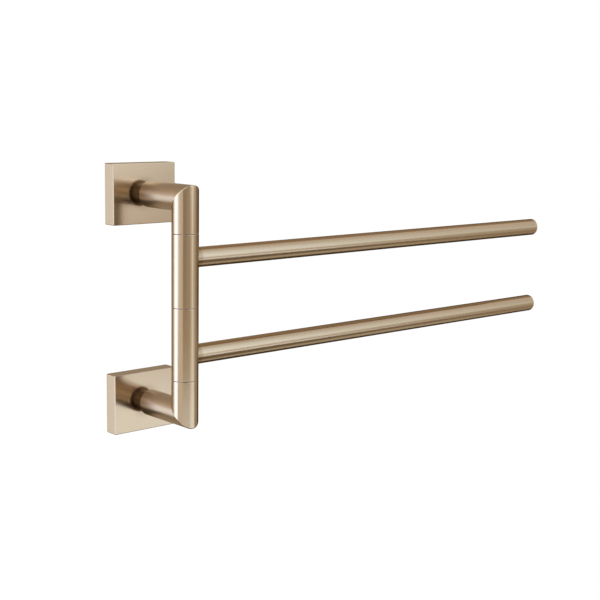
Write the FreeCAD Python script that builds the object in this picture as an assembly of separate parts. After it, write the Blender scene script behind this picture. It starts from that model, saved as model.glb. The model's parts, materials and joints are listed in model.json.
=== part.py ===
"""Double swing arm towel bar: two rectangular flanges, two mitred posts, one pivot column, two arms.

Frame: the wall is the plane y = 0 and the room lies towards -Y. +Z is up. The origin is on the wall,
midway between the two flanges and straight behind the pivot column. At rest both arms point along +X.
All sizes are millimetres.
"""
import FreeCAD, Part
import os
from FreeCAD import Vector

# ---- driving dimensions -----------------------------------------------------------------------
POST_SPACING = 160.0        # between the two post centre lines
COLUMN_OUT = 62.0           # from the wall to the column axis
TUBE_R = 10.0               # posts, elbows and hubs
TUBE_WALL = 1.8
FLANGE_W = 56.0             # along the wall
FLANGE_H = 46.0             # up the wall
FLANGE_T = 11.5             # out from the wall
HUB_PITCH = 54.3            # from seam to seam along the column
SEAM = 0.6                  # width of a seam
ARM_R = 7.5
ARM_WALL = 1.5
ARM_REACH = 407.0           # from the column axis to the tip
ARM_HEIGHT = 36.25          # arm centre line above or below the middle seam

# flange shell and the bracket behind it
FLANGE_SIDE_WALL = 2.5
FLANGE_FACE_WALL = 3.5
FLANGE_EDGE = 0.5
BRACKET_W = 44.0
BRACKET_GAUGE = 2.5
BRACKET_LIP_OUT = 7.2
BRACKET_DROP = 3.0          # from the bracket's lower lip to the flange's lower wall
BRACKET_CORNER = 1.2
WALL_HOLE_SPACING = 30.0
WALL_HOLE_R = 2.25
SET_SCREW_R = 2.0
SET_SCREW_RECESS = 0.4
SET_SCREW_CONE = 0.9
SET_SCREW_OUT = 4.6         # from the wall to the set screw's axis

# post root: shadow-gap collar, screw, washer, dowel and plug
COLLAR_R = 8.0
COLLAR_LENGTH = 6.7
POST_SCREW_R = 3.0
POST_SCREW_CLEAR = 0.25
POST_SCREW_LENGTH = 25.0
POST_SCREW_POINT = 1.0      # the broken end of its shank
POST_SCREW_HEAD_R = 5.0
POST_SCREW_HEAD = 3.6
POST_WASHER_R = 6.0
POST_WASHER = 1.0
PLUG_LENGTH = 18.0
DOWEL_R = 1.25
DOWEL_OFFSET = 5.6
DOWEL_LENGTH = 13.0
DOWEL_IN_FLANGE = 3.0

# column: rod, bosses, hubs, bushes and washers
ROD_R = 4.0
ROD_HALF = 69.0
ROD_BREAK = 0.8
BOSS_LENGTH = 15.0
HUB_BORE_R = 4.5
BUSH_R = 6.0
BUSH_RUNNING_GAP = 0.05
BUSH_LENGTH = 10.0
DISC_RECESS = 1.3
DISC_R = 5.7
DISC_BORE_R = 4.2
DISC_GAUGE = 0.5
DISC_HEIGHT = 1.1
SEAM_WASHER = 0.5
SEAM_WASHER_R = 9.3
EDGE_BREAK = 0.25

# arm: stud, plug and end cap
STUD_R = 3.0
STUD_INNER = 5.0
STUD_OUTER = 23.0
ARM_PLUG_END = 28.0
CAP_LENGTH = 4.0
CAP_SPIGOT = 10.0
CAP_RIM = 1.0               # the rim is two tapers that meet at the knee
CAP_KNEE = 0.3
ARM_TAPER = 0.25            # the arm narrows by this from the rail's start to the column axis
RAIL_START = 12.0           # from the column axis to where the rail's full size begins

# hexagon sockets, across the flats, with their depths
SET_SCREW_KEY = 2.0
SET_SCREW_KEY_DEPTH = 2.2
POST_SCREW_KEY = 4.0
POST_SCREW_KEY_DEPTH = 2.4

# how far a drilled hole runs past the piece that goes in it
DRILL_RUN = 1.0

# two lengths closer than this are taken as equal when edges are picked
NEAR = 0.01

# ---- places worked out from the driving dimensions ----------------------------------------------
POST_Z = POST_SPACING / 2.0
TUBE_BORE_R = TUBE_R - TUBE_WALL
FACE_BACK_Y = -(FLANGE_T - FLANGE_FACE_WALL)
FACE_Y = -FLANGE_T
POST_Y = FACE_Y - COLLAR_LENGTH
AXIS_Y = -COLUMN_OUT
ELBOW_END = HUB_PITCH + SEAM / 2.0
HUB_LOW = SEAM / 2.0
HUB_HIGH = HUB_PITCH - SEAM / 2.0
ARM_BORE_R = ARM_R - ARM_WALL
CAP_X = ARM_REACH - CAP_LENGTH
OUT = Vector(0, -1, 0)      # away from the wall
UP = Vector(0, 0, 1)
ALONG = Vector(1, 0, 0)


def box(x0, x1, y0, y1, z0, z1):
    """A block between two corners."""
    return Part.makeBox(x1 - x0, y1 - y0, z1 - z0, Vector(x0, y0, z0))


def rod(radius, length, start, axis):
    """A round bar from a start point along an axis."""
    return Part.makeCylinder(radius, length, start, axis)


def ring(outer, inner, length, start, axis):
    """A round bar with a bore right through."""
    return rod(outer, length, start, axis).cut(rod(inner, length, start, axis))


def hexagon(flats, depth, start, axis, side):
    """A hexagonal prism; side is a direction square to the axis that points at one flat."""
    across = axis.cross(side)
    corner = flats / 3.0 ** 0.5
    points = []
    for turn in range(6):
        spin = FreeCAD.Rotation(axis, 60.0 * turn)
        points.append(start + spin.multVec(across) * corner)
    wire = Part.makePolygon(points + [points[0]])
    return Part.Face(wire).extrude(axis * depth)


def turned(points, centre, axis):
    """A solid turned about an axis through centre from (radius, distance along the axis) points."""
    side = Vector(1, 0, 0) if abs(axis.x) < 0.5 else Vector(0, 1, 0)
    outline = [centre + side * radius + axis * along for radius, along in points]
    wire = Part.makePolygon(outline + [outline[0]])
    return Part.Face(wire).revolve(centre, axis, 360.0)


def mitred_tube(radius, start, corner, end):
    """A round bar that follows two straight runs and turns the corner in one plane mitre."""
    path = Part.Wire([Part.makeLine(start, corner), Part.makeLine(corner, end)])
    section = Part.Wire([Part.makeCircle(radius, start, (corner - start).normalize())])
    sweep = Part.BRepOffsetAPI.MakePipeShell(path)
    sweep.setTransitionMode(1)
    sweep.add(section)
    sweep.build()
    sweep.makeSolid()
    return sweep.shape()


# ---- wall side, one of each for the upper and the lower post ------------------------------------
def wall_bracket(post_z):
    """A folded steel channel: a web on the wall, a lip the flange hangs on and a lip it is locked to."""
    top = post_z + FLANGE_H / 2.0 - FLANGE_SIDE_WALL
    bottom = post_z - FLANGE_H / 2.0 + FLANGE_SIDE_WALL + BRACKET_DROP
    half = BRACKET_W / 2.0
    outline = [(0.0, bottom), (-BRACKET_LIP_OUT, bottom), (-BRACKET_LIP_OUT, bottom + BRACKET_GAUGE),
               (-BRACKET_GAUGE, bottom + BRACKET_GAUGE), (-BRACKET_GAUGE, top - BRACKET_GAUGE),
               (-BRACKET_LIP_OUT, top - BRACKET_GAUGE), (-BRACKET_LIP_OUT, top), (0.0, top)]
    points = [Vector(-half, y, z) for y, z in outline]
    channel = Part.Face(Part.makePolygon(points + [points[0]])).extrude(ALONG * BRACKET_W)
    folds = [edge for edge in channel.Edges if is_fold(edge)]
    channel = channel.makeFillet(BRACKET_CORNER, folds)
    for side in (-1, 1):
        start = Vector(side * WALL_HOLE_SPACING / 2.0, 0.0, post_z)
        channel = channel.cut(rod(WALL_HOLE_R, BRACKET_GAUGE, start, OUT))
    point = Vector(0.0, -SET_SCREW_OUT, bottom)
    return channel.cut(Part.makeCone(SET_SCREW_CONE, 0.0, SET_SCREW_CONE, point, UP))


def is_fold(edge):
    """True for the channel's two long edges inside its bends."""
    first, last = edge.Vertexes[0].Point, edge.Vertexes[-1].Point
    runs_along = abs(abs(last.x - first.x) - BRACKET_W) < NEAR
    return runs_along and abs(first.y + BRACKET_GAUGE) < NEAR


def flange(post_z):
    """The cover plate: a shell open to the wall, with its front edges and corners broken."""
    low, high = post_z - FLANGE_H / 2.0, post_z + FLANGE_H / 2.0
    half = FLANGE_W / 2.0
    block = box(-half, half, FACE_Y, 0.0, low, high)
    broken = [edge for edge in block.Edges if max(vertex.Point.y for vertex in edge.Vertexes) < -NEAR
              or abs(edge.Vertexes[0].Point.y - edge.Vertexes[-1].Point.y) > NEAR]
    shell = block.makeChamfer(FLANGE_EDGE, broken)
    wall = FLANGE_SIDE_WALL
    shell = shell.cut(box(-half + wall, half - wall, FACE_BACK_Y, 0.0, low + wall, high - wall))
    clear = POST_SCREW_R + POST_SCREW_CLEAR
    shell = shell.cut(rod(clear, FLANGE_FACE_WALL, Vector(0.0, FACE_BACK_Y, post_z), OUT))
    dowel_hole = Vector(0.0, FACE_Y + DOWEL_IN_FLANGE, post_z + DOWEL_OFFSET)
    shell = shell.cut(rod(DOWEL_R, DOWEL_IN_FLANGE, dowel_hole, OUT))
    return shell.cut(rod(SET_SCREW_R, wall, Vector(0.0, -SET_SCREW_OUT, low), UP))


def flange_set_screw(post_z):
    """A grub screw in the flange's underside whose cone presses the bracket's lower lip."""
    low = post_z - FLANGE_H / 2.0
    length = FLANGE_SIDE_WALL + BRACKET_DROP - SET_SCREW_RECESS
    foot = Vector(0.0, -SET_SCREW_OUT, low + SET_SCREW_RECESS)
    tip = SET_SCREW_CONE
    outline = [(0.0, 0.0), (SET_SCREW_R, 0.0), (SET_SCREW_R, length - tip), (tip, length),
               (0.0, length + tip)]
    screw = turned(outline, foot, UP)
    return screw.cut(hexagon(SET_SCREW_KEY, SET_SCREW_KEY_DEPTH, foot, UP, OUT))


def post_washer(post_z):
    """The washer under the post screw's head, inside the flange."""
    start = Vector(0.0, FACE_BACK_Y + POST_WASHER, post_z)
    return ring(POST_WASHER_R, POST_SCREW_R + POST_SCREW_CLEAR, POST_WASHER, start, OUT)


def post_screw(post_z):
    """A low-head socket screw that pulls the post against the flange."""
    seat = FACE_BACK_Y + POST_WASHER
    head_top = Vector(0.0, seat + POST_SCREW_HEAD, post_z)
    outline = [(0.0, 0.0), (POST_SCREW_HEAD_R - EDGE_BREAK, 0.0), (POST_SCREW_HEAD_R, EDGE_BREAK),
               (POST_SCREW_HEAD_R, POST_SCREW_HEAD), (POST_SCREW_R, POST_SCREW_HEAD),
               (POST_SCREW_R, POST_SCREW_HEAD + POST_SCREW_LENGTH - POST_SCREW_POINT),
               (POST_SCREW_R - POST_SCREW_POINT, POST_SCREW_HEAD + POST_SCREW_LENGTH),
               (0.0, POST_SCREW_HEAD + POST_SCREW_LENGTH)]
    screw = turned(outline, head_top, OUT)
    return screw.cut(hexagon(POST_SCREW_KEY, POST_SCREW_KEY_DEPTH, head_top, OUT, UP))


def post_collar(post_z):
    """The narrow dark neck that holds the post off the flange."""
    start = Vector(0.0, FACE_Y, post_z)
    collar = ring(COLLAR_R, POST_SCREW_R + POST_SCREW_CLEAR, COLLAR_LENGTH, start, OUT)
    return collar.cut(rod(DOWEL_R, COLLAR_LENGTH, start + UP * DOWEL_OFFSET, OUT))


def post_plug(post_z):
    """The tapped plug fixed in the wall end of the post."""
    start = Vector(0.0, POST_Y, post_z)
    plug = rod(TUBE_BORE_R, PLUG_LENGTH, start, OUT)
    reach = FACE_BACK_Y + POST_WASHER - POST_SCREW_LENGTH
    plug = plug.cut(rod(POST_SCREW_R, POST_Y - reach + DRILL_RUN, start, OUT))
    dowel_depth = DOWEL_LENGTH - DOWEL_IN_FLANGE - COLLAR_LENGTH
    return plug.cut(rod(DOWEL_R, dowel_depth, start + UP * DOWEL_OFFSET, OUT))


def post_dowel(post_z):
    """The pin that stops the post from turning on its flange."""
    start = Vector(0.0, FACE_Y + DOWEL_IN_FLANGE, post_z + DOWEL_OFFSET)
    return rod(DOWEL_R, DOWEL_LENGTH, start, OUT)


def elbow_post(post_z):
    """A post and its stub of column in one hollow tube with a sharp mitre between them."""
    side = 1.0 if post_z > 0 else -1.0
    start = Vector(0.0, POST_Y, post_z)
    corner = Vector(0.0, AXIS_Y, post_z)
    end = Vector(0.0, AXIS_Y, side * ELBOW_END)
    outside = mitred_tube(TUBE_R, start, corner, end)
    inside = mitred_tube(TUBE_BORE_R, start, corner, end)
    return outside.cut(inside)


def elbow_boss(post_z):
    """The tapped boss in the column end of an elbow that the pivot rod screws into."""
    side = 1.0 if post_z > 0 else -1.0
    start = Vector(0.0, AXIS_Y, side * ELBOW_END)
    axis = UP * side
    boss = rod(TUBE_BORE_R, BOSS_LENGTH, start, axis)
    return boss.cut(rod(ROD_R, BOSS_LENGTH, start, axis))


# ---- the column ---------------------------------------------------------------------------------
def pivot_rod():
    """The steel rod that both hubs turn on; its ends are broken."""
    end = ROD_R - ROD_BREAK
    outline = [(0.0, -ROD_HALF), (end, -ROD_HALF), (ROD_R, -ROD_HALF + ROD_BREAK),
               (ROD_R, ROD_HALF - ROD_BREAK), (end, ROD_HALF), (0.0, ROD_HALF)]
    return turned(outline, Vector(0.0, AXIS_Y, 0.0), UP)


def seam_washer(height):
    """The thin dark washer that shows as a line round the column."""
    start = Vector(0.0, AXIS_Y, height - SEAM_WASHER / 2.0)
    return ring(SEAM_WASHER_R, ROD_R + BUSH_RUNNING_GAP, SEAM_WASHER, start, UP)


def tension_disc():
    """A coned spring disc in the top of the upper hub that keeps the stack tight."""
    low = HUB_HIGH - DISC_HEIGHT - (DISC_RECESS - DISC_HEIGHT) / 2.0
    rise = DISC_HEIGHT - DISC_GAUGE
    outline = [(DISC_BORE_R, rise), (DISC_R, 0.0), (DISC_R, DISC_GAUGE), (DISC_BORE_R, DISC_HEIGHT)]
    return turned(outline, Vector(0.0, AXIS_Y, low), UP)


def hub(arm_side):
    """A turned hub: arm_side +1 lies above the middle seam and -1 below it."""
    edge = EDGE_BREAK
    outline = [(HUB_BORE_R, HUB_LOW + BUSH_LENGTH), (BUSH_R, HUB_LOW + BUSH_LENGTH), (BUSH_R, HUB_LOW),
               (TUBE_R - edge, HUB_LOW), (TUBE_R, HUB_LOW + edge), (TUBE_R, HUB_HIGH - edge),
               (TUBE_R - edge, HUB_HIGH), (BUSH_R, HUB_HIGH), (BUSH_R, HUB_HIGH - BUSH_LENGTH),
               (HUB_BORE_R, HUB_HIGH - BUSH_LENGTH)]
    axis = UP * arm_side
    body = turned(outline, Vector(0.0, AXIS_Y, 0.0), axis)
    hole = Vector(0.0, AXIS_Y, arm_side * ARM_HEIGHT)
    return body.cut(rod(STUD_R, TUBE_R + DRILL_RUN, hole, ALONG))


def hub_bush(low, high):
    """A plain nylon bush pressed into a hub; the rod runs in it."""
    return ring(BUSH_R, ROD_R + BUSH_RUNNING_GAP, high - low, Vector(0.0, AXIS_Y, low), UP)


# ---- an arm, upper (+1) or lower (-1) -------------------------------------------------------------
def hub_envelope(arm_z):
    """The round of the hub where an arm is fitted, used to cope what butts on it."""
    return rod(TUBE_R, 4.0 * ARM_R, Vector(0.0, AXIS_Y, arm_z - 2.0 * ARM_R), UP)


def arm_bar(arm_z):
    """The long tube of an arm: coped to sit on its hub, a short easing taper, then the rail to the cap."""
    outline = [(ARM_BORE_R, 0.0), (ARM_R - ARM_TAPER, 0.0), (ARM_R, RAIL_START), (ARM_R, CAP_X),
               (ARM_BORE_R, CAP_X)]
    return turned(outline, Vector(0.0, AXIS_Y, arm_z), ALONG).cut(hub_envelope(arm_z))


def arm_plug(arm_z):
    """The tapped plug in the arm's hub end."""
    plug = rod(ARM_BORE_R, ARM_PLUG_END, Vector(0.0, AXIS_Y, arm_z), ALONG).cut(hub_envelope(arm_z))
    return plug.cut(rod(STUD_R, STUD_OUTER + DRILL_RUN, Vector(0.0, AXIS_Y, arm_z), ALONG))


def arm_stud(arm_z):
    """The stud that joins hub and arm."""
    length = STUD_OUTER - STUD_INNER
    edge = EDGE_BREAK * 2.0
    outline = [(0.0, 0.0), (STUD_R - edge, 0.0), (STUD_R, edge), (STUD_R, length - edge),
               (STUD_R - edge, length), (0.0, length)]
    return turned(outline, Vector(STUD_INNER, AXIS_Y, arm_z), ALONG)


def arm_end_cap(arm_z):
    """The cap that closes the tip: a spigot in the tube and a flush head with an eased rim."""
    outline = [(0.0, -CAP_SPIGOT), (ARM_BORE_R, -CAP_SPIGOT), (ARM_BORE_R, 0.0), (ARM_R, 0.0),
               (ARM_R, CAP_LENGTH - CAP_RIM), (ARM_R - CAP_KNEE, CAP_LENGTH - CAP_KNEE),
               (ARM_R - CAP_RIM, CAP_LENGTH), (0.0, CAP_LENGTH)]
    return turned(outline, Vector(CAP_X, AXIS_Y, arm_z), ALONG)


# ---- the whole object -------------------------------------------------------------------------
def make_nodes():
    """Every piece under its own name."""
    nodes = {}
    for name, post_z in (("upper", POST_Z), ("lower", -POST_Z)):
        nodes[name + "_wall_bracket"] = wall_bracket(post_z)
        nodes[name + "_flange"] = flange(post_z)
        nodes[name + "_flange_set_screw"] = flange_set_screw(post_z)
        nodes[name + "_post_screw"] = post_screw(post_z)
        nodes[name + "_post_washer"] = post_washer(post_z)
        nodes[name + "_post_collar"] = post_collar(post_z)
        nodes[name + "_post_dowel"] = post_dowel(post_z)
        nodes[name + "_post_plug"] = post_plug(post_z)
        nodes[name + "_elbow_post"] = elbow_post(post_z)
        nodes[name + "_elbow_boss"] = elbow_boss(post_z)
    nodes["pivot_rod"] = pivot_rod()
    for name, height in (("top", HUB_PITCH), ("middle", 0.0), ("bottom", -HUB_PITCH)):
        nodes[name + "_seam_washer"] = seam_washer(height)
    nodes["tension_disc"] = tension_disc()
    for name, side in (("upper", 1.0), ("lower", -1.0)):
        arm_z = side * ARM_HEIGHT
        nodes[name + "_hub"] = hub(side)
        nodes[name + "_arm_stud"] = arm_stud(arm_z)
        nodes[name + "_arm_plug"] = arm_plug(arm_z)
        nodes[name + "_arm_bar"] = arm_bar(arm_z)
        nodes[name + "_arm_end_cap"] = arm_end_cap(arm_z)
    nodes["upper_hub_top_bush"] = hub_bush(HUB_HIGH - BUSH_LENGTH, HUB_HIGH - DISC_RECESS)
    nodes["upper_hub_bottom_bush"] = hub_bush(HUB_LOW, HUB_LOW + BUSH_LENGTH)
    nodes["lower_hub_top_bush"] = hub_bush(-HUB_LOW - BUSH_LENGTH, -HUB_LOW)
    nodes["lower_hub_bottom_bush"] = hub_bush(-HUB_HIGH, -HUB_HIGH + BUSH_LENGTH)
    return nodes


def main():
    """Write one STEP file for each piece."""
    os.makedirs("parts", exist_ok=True)
    for name, shape in make_nodes().items():
        if not shape.isValid() or len(shape.Solids) != 1:
            raise RuntimeError(name + " is not one sound solid")
        shape.exportStep("parts/" + name + ".step")
        print(f"{name:26s} {shape.Volume:10.1f} mm3")


main()
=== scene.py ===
"""Looks of a double swing arm towel bar in brushed bronze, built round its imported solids.

Sizes in this file are millimetres in the row frame: the wall is y = 0, the room lies towards -Y and
+Z is up. Meshes are written in metres. Every piece keeps its object at the origin.
"""
import json
import logging
import math
from collections.abc import Callable, Sequence
from dataclasses import dataclass, field
from enum import Enum

import bpy
import numpy as np
from mathutils import Matrix, Vector


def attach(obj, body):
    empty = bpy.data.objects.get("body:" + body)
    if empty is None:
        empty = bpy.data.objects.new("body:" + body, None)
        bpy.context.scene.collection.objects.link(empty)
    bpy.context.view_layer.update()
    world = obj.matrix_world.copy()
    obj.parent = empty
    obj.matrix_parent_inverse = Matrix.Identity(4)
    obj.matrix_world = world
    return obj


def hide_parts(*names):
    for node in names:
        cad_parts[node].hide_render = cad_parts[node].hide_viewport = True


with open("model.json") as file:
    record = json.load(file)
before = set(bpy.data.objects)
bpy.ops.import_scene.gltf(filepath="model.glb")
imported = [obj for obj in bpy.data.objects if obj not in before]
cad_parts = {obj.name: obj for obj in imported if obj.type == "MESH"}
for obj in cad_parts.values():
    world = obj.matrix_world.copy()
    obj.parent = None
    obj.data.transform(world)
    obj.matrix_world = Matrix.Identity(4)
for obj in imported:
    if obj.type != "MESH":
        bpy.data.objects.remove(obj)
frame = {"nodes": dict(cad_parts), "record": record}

MM = 0.001  # in metres
TINY = 1e-6  # what counts as nothing
FAR = 99.0  # farther from a worn edge than any wear or painted edge highlight reaches, in millimetres
AROUND = 96  # points round a turned piece
log = logging.getLogger("towel_bar")
Triple = tuple[float, float, float]
Array = np.ndarray
Loop = tuple[Array, Array]


class Body(Enum):
    """The moving bodies that a piece can ride on."""

    WALL = "wall_mount"
    UPPER = "upper_arm"
    LOWER = "lower_arm"


class Side(Enum):
    """Which of the two posts and arms a sub-assembly is."""

    UPPER = 1.0
    LOWER = -1.0

    @property
    def label(self) -> str:
        """What this side's names start with."""
        return self.name.lower()

    @property
    def body(self) -> Body:
        """The arm body on this side."""
        return Body[self.name]


class Along(Enum):
    """Axis that a piece's brush lines run along."""

    X = 0
    Y = 1
    Z = 2


# ---- shapes ----
def circle(count: int) -> Array:
    """Angles that lie evenly round a circle, from 0."""
    return np.linspace(0.0, 2.0 * math.pi, count, endpoint=False)


@dataclass(frozen=True)
class Profile:
    """A line of points with a unit normal at each, in two coordinates (out, along).

    Attributes:
        points: Array of shape (n, 2), in millimetres.
        normals: Array of shape (n, 2).
        closed: True if the last point joins the first.
    """

    points: Array
    normals: Array
    closed: bool

    @staticmethod
    def rounded(corners: Sequence[Triple], closed: bool, steps: int = 6) -> "Profile":
        """Straight runs joined by tangent arcs.

        At a corner of radius r between runs with unit directions a and b that turn by angle t, the arc
        starts r*tan(t/2) before the corner and its normal turns evenly from a's to b's. The outside is
        to the right of the way the corners are listed.

        Args:
            corners: (out, along, radius) of each corner.
            closed: True if the last corner joins the first.
            steps: How many pieces each arc has.

        Returns:
            The profile. An open one starts and ends in its first and last corner.
        """
        xy = np.array(corners, float)[:, :2]
        runs = np.roll(xy, -1, axis=0) - xy
        if not closed:
            runs[-1] = runs[-2]
        ways = runs / np.linalg.norm(runs, axis=1)[:, None]
        points, normals = [], []
        for i, (_, _, radius) in enumerate(corners):
            a, b = ways[i - 1 if closed or i else 0], ways[i]
            turn = math.atan2(a[0] * b[1] - a[1] * b[0], float(a @ b))
            start = math.atan2(-a[0], a[1])
            angles = start + np.linspace(0.0, turn, steps + 1)
            if abs(turn) < TINY:
                angles = angles[:1]
            around = np.stack([np.cos(angles), np.sin(angles)], 1)
            hub_side = 1.0 if turn > 0 else -1.0
            reach = abs(radius * math.tan(turn / 2.0))
            centre = xy[i] - a * reach - hub_side * radius * around[0]
            points.append(centre + hub_side * radius * around)
            normals.append(around)
        return Profile(np.concatenate(points), np.concatenate(normals), closed)

    @staticmethod
    def tube(bore: float, radius: float, low: float, high: float, edge: float, steps: int = 6) -> "Profile":
        """The section of a tube from low to high, whose four edges are rounded."""
        return Profile.rounded([(bore, low, edge), (radius, low, edge), (radius, high, edge),
                                (bore, high, edge)], closed=True, steps=steps)


@dataclass
class Rings:
    """A skin laid over a row of rings, each one a loop of points or a single pole point.

    Attributes:
        rings: Arrays of shape (n, 3), or (1, 3) for a pole, in millimetres.
        normals: Arrays of the same shapes.
        joined: True if the last ring joins the first one.
    """

    rings: list[Array] = field(default_factory=list)
    normals: list[Array] = field(default_factory=list)
    joined: bool = False

    def add(self, ring: Array, normal: Array) -> None:
        """Adds the next ring."""
        self.rings.append(ring)
        self.normals.append(normal)

    @property
    def starts(self) -> list[int]:
        """Each ring's first vertex number."""
        return np.cumsum([0] + [len(ring) for ring in self.rings]).tolist()

    def faces(self) -> list[tuple[int, ...]]:
        """Quads between neighbouring rings, which shrink to triangles round a pole.

        Returns:
            Vertex numbers of each face, counted over all rings in order.
        """
        starts, last = self.starts, len(self.rings) - 1
        pairs = [(i, i + 1) for i in range(last)] + [(last, 0)] * self.joined
        found: list[tuple[int, ...]] = []
        for first, second in pairs:
            n, m = len(self.rings[first]), len(self.rings[second])
            k = np.arange(max(n, m))
            after = (k + 1) % len(k)
            rows = np.stack([starts[first] + k % n, starts[second] + k % m, starts[second] + after % m,
                             starts[first] + after % n], 1)
            found.extend(tuple(dict.fromkeys(row)) for row in rows.tolist())
        return found


@dataclass
class HoledRings(Rings):
    """A flange's loops with a round hole through the underside, lined by the last rings.

    Attributes:
        first_pair: The loop before the outer face of the underside.
        second_pair: The loop before its inner face.
        corner: The loops' point at the left end of the underside.
        hole: The number of rings that line the hole, from the outer face to the inner one.
    """

    first_pair: int = 7
    second_pair: int = 15
    corner: int = 17
    hole: int = 4

    def faces(self) -> list[tuple[int, ...]]:
        """The loops' quads but for the two that are opened, a fan at each corner of those, and the lining.

        The fan joins a corner of the opened quad to the quarter of the circle that lies nearest, and one
        triangle fills the gap to the next corner.

        Returns:
            Vertex numbers of each face.
        """
        starts, count, points = self.starts, len(self.rings) - self.hole, np.concatenate(self.rings)
        shell = Rings(self.rings[:count]).faces()
        found = [tuple(i + starts[count] for i in face) for face in Rings(self.rings[count:]).faces()]
        for pair, ring, way in ((self.first_pair, count, -1), (self.second_pair, len(self.rings) - 1, 1)):
            near, far = starts[pair] + self.corner, starts[pair + 1] + self.corner
            quad = [near, near + 1, far + 1, far]
            shell = [face for face in shell if set(face) != set(quad)]
            ways = points[quad] - self.rings[ring].mean(0)
            order = np.argsort(np.arctan2(ways[:, 1], ways[:, 0]) % (2.0 * math.pi))
            quarter = len(self.rings[ring]) // 4
            for k, corner in enumerate(order):
                steps = [starts[ring] + (k * quarter + i) % (4 * quarter) for i in range(quarter + 1)]
                fan = [(quad[corner], b, a) for a, b in zip(steps, steps[1:])]
                fan.append((quad[corner], quad[order[(k + 1) % 4]], steps[-1]))
                found.extend(face[::way] for face in fan)
        return shell + found


def turned(profile: Profile, origin: Triple, along: Triple, side: Triple = (1.0, 0.0, 0.0)) -> Rings:
    """A profile carried round an axis: point = origin + along*s + around*r for each (r, s) of the profile.

    around = side*cos(t) + (along x side)*sin(t), with t round the circle.

    Args:
        profile: Points (radius, distance along the axis). An open one ends on the axis, in poles.
        origin: A point on the axis, in millimetres.
        along: The axis's unit direction.
        side: A unit direction square to it, where the turn starts.

    Returns:
        The skin.
    """
    skin, t = Rings(joined=profile.closed), circle(AROUND)[:, None]
    around = np.array(side) * np.cos(t) + np.cross(along, side) * np.sin(t)
    for (radius, distance), (out, up) in zip(profile.points, profile.normals):
        centre = np.array(origin) + np.array(along) * distance
        if radius < TINY:
            skin.add(centre[None], (np.array(along) * np.sign(up))[None])
        else:
            skin.add(centre + around * radius, around * out + np.array(along) * up)
    return skin


def build_object(name: str, points: Array, faces: list[Sequence[int]],
                 finish: bpy.types.Material) -> bpy.types.Object:
    """Makes a mesh object in the scene.

    Args:
        name: Its name.
        points: Its points, in metres.
        faces: Vertex numbers of each face.
        finish: Its material.

    Returns:
        The object, at the origin.
    """
    mesh = bpy.data.meshes.new(name)
    mesh.from_pydata(points.tolist(), [], faces)
    mesh.materials.append(finish)
    made = bpy.data.objects.new(name, mesh)
    bpy.context.scene.collection.objects.link(made)
    return made


# ---- shader maths ----
def math_node(operation: str, swapped: bool = False) -> Callable[["Socket", "Value"], "Socket"]:
    """A method of Socket that makes a Math node from itself and another value.

    Args:
        operation: The node's operation.
        swapped: True if the other value comes first.

    Returns:
        The method.
    """
    def method(self: "Socket", other: "Value" = 0.0) -> "Socket":
        """The operation on the two."""
        first, second = (other, self) if swapped else (self, other)
        return self.tree.node("ShaderNodeMath", {0: first, 1: second}, operation=operation)

    return method


class Socket:
    """A shader output that takes part in sums, so that node maths reads as arithmetic."""

    __add__, __radd__ = math_node("ADD"), math_node("ADD", swapped=True)
    __sub__, __rsub__ = math_node("SUBTRACT"), math_node("SUBTRACT", swapped=True)
    __mul__, __rmul__ = math_node("MULTIPLY"), math_node("MULTIPLY", swapped=True)
    __truediv__, __pow__, __abs__ = math_node("DIVIDE"), math_node("POWER"), math_node("ABSOLUTE")
    maximum, minimum = math_node("MAXIMUM"), math_node("MINIMUM")

    def __init__(self, tree: "ShaderTree", output: bpy.types.NodeSocket | None) -> None:
        """Wraps an output of a node in the given tree, or None for a node that ends the tree."""
        self.tree = tree
        self.output = output

    def held(self, high: float = 1.0) -> "Socket":
        """The value held between 0 and high."""
        return self.maximum(0.0).minimum(high)

    def fall(self, reach: float) -> "Socket":
        """1 where self is 0, falling evenly to 0 where self is reach, and held between the two."""
        return (1.0 - self / reach).held()

    def split(self) -> list["Socket"]:
        """A vector's X, Y and Z."""
        return [self.tree.node("ShaderNodeSeparateXYZ", {"Vector": self}, out=axis) for axis in "XYZ"]

    def millimetres(self) -> list["Socket"]:
        """A place's X, Y and Z in millimetres."""
        return [part / MM for part in self.split()]

    def exchanged(self, share: "Value") -> "Socket":
        """A place with its X and Z exchanged: x + (z - x)*share and z + (x - z)*share.

        Args:
            share: 1 to exchange them and 0 to leave them.

        Returns:
            The new place.
        """
        x, y, z = self.split()
        shift = (z - x) * share
        return self.tree.node("ShaderNodeCombineXYZ", {"X": x + shift, "Y": y, "Z": z - shift})

    def noise(self, scale: Triple, detail: float, roughness: float = 0.5, shift: float = 0.0) -> "Socket":
        """Noise from 0 to 1 at a place, stretched by scaling it differently along each axis.

        Args:
            scale: Noise cells per metre along X, Y and Z.
            detail: Finer octaves added.
            roughness: How strong they are.
            shift: Moves the pattern, so that two noises differ.

        Returns:
            The noise value.
        """
        spot = self.tree.node("ShaderNodeMapping", {"Vector": self, "Scale": scale, "Location": (shift,) * 3})
        return self.tree.node("ShaderNodeTexNoise", {"Vector": spot, "Scale": 1.0, "Detail": detail,
                                                     "Roughness": roughness})


Value = Socket | float


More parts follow.
